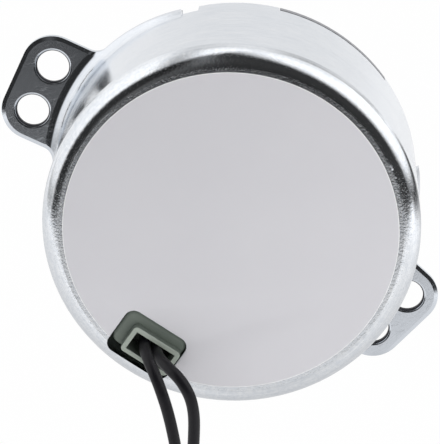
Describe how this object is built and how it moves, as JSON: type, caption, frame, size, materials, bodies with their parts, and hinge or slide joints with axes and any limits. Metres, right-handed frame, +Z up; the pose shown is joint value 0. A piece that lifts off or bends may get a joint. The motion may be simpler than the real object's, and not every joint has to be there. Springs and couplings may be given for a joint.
{
  "type": "geared synchronous motor",
  "caption": "Flat round geared AC synchronous motor: zinc-plated steel cup with two fixing ears, crimped cover plate, D-cut output shaft and lead outlet in the back.",
  "frame": {"origin": "on the motor axis at the front (mounting) face of the cover plate, where the bush's pilot boss starts", "axes": "+Y along the output shaft away from the motor, +Z up with the lead outlet at the bottom of the back face, ears on +X and -X"},
  "size_m": [0.0686, 0.0463, 0.127],
  "materials": {
    "zinc_steel": "bright zinc-plated drawn and stamped steel sheet",
    "silver_label": "satin silver polyester film",
    "pole_steel": "plain stamped soft steel",
    "green_nylon": "olive-green moulded glass-filled nylon",
    "enamelled_copper": "fine enamelled copper wire, layer wound",
    "yellow_tape": "polyester insulating tape",
    "tinned_wire": "tinned copper",
    "black_pvc": "black PVC insulation, slightly glossy",
    "ground_steel": "turned and ground steel",
    "white_acetal": "natural white acetal",
    "ferrite": "sintered ferrite, dark grey",
    "gear_brass": "turned brass"
  },
  "bodies": {
    "case": {"motor_cup": "zinc_steel", "back_label": "silver_label", "cover_plate": "zinc_steel", "lower_pole_plate": "pole_steel", "upper_pole_plate": "pole_steel", "coil_bobbin": "green_nylon", "coil_winding": "enamelled_copper", "winding_tape": "yellow_tape", "coil_terminals": "tinned_wire", "lead_wire_1": "black_pvc", "lead_wire_2": "black_pvc", "lead_tips": "tinned_wire", "centre_pin": "ground_steel", "rotor_washer": "white_acetal", "gear_base_plate": "pole_steel", "gear_pins": "ground_steel", "spacer_posts": "ground_steel", "thrust_washer": "white_acetal", "shaft_bush": "gear_brass"},
    "rotor": {"rotor_hub": "white_acetal", "rotor_magnet": "ferrite"},
    "first_gear": {"first_gear": "white_acetal"},
    "second_gear": {"second_gear": "white_acetal"},
    "third_gear": {"third_gear": "white_acetal"},
    "output": {"output_gear": "gear_brass", "output_shaft": "ground_steel"}
  },
  "joints": [
    {"name": "output_turn", "type": "hinge", "parent": "case", "child": "output", "pos_m": [0, 0, 0], "axis": [0, 1, 0], "continuous": true},
    {"name": "third_gear_turn", "type": "hinge", "parent": "case", "child": "third_gear", "pos_m": [-0.01076, 0, 0.00636], "axis": [0, 1, 0], "continuous": true},
    {"name": "second_gear_turn", "type": "hinge", "parent": "case", "child": "second_gear", "pos_m": [0.00041, 0, 0.01266], "axis": [0, 1, 0], "continuous": true},
    {"name": "first_gear_turn", "type": "hinge", "parent": "case", "child": "first_gear", "pos_m": [0.01039, 0, 0.006], "axis": [0, 1, 0], "continuous": true},
    {"name": "rotor_turn", "type": "hinge", "parent": "case", "child": "rotor", "pos_m": [0, 0, 0], "axis": [0, 1, 0], "continuous": true}
  ],
  "couplings": [
    {"joint": "third_gear_turn", "follows": "output_turn", "ratio": -4},
    {"joint": "second_gear_turn", "follows": "output_turn", "ratio": 15},
    {"joint": "first_gear_turn", "follows": "output_turn", "ratio": -75},
    {"joint": "rotor_turn", "follows": "output_turn", "ratio": 300}
  ]
}
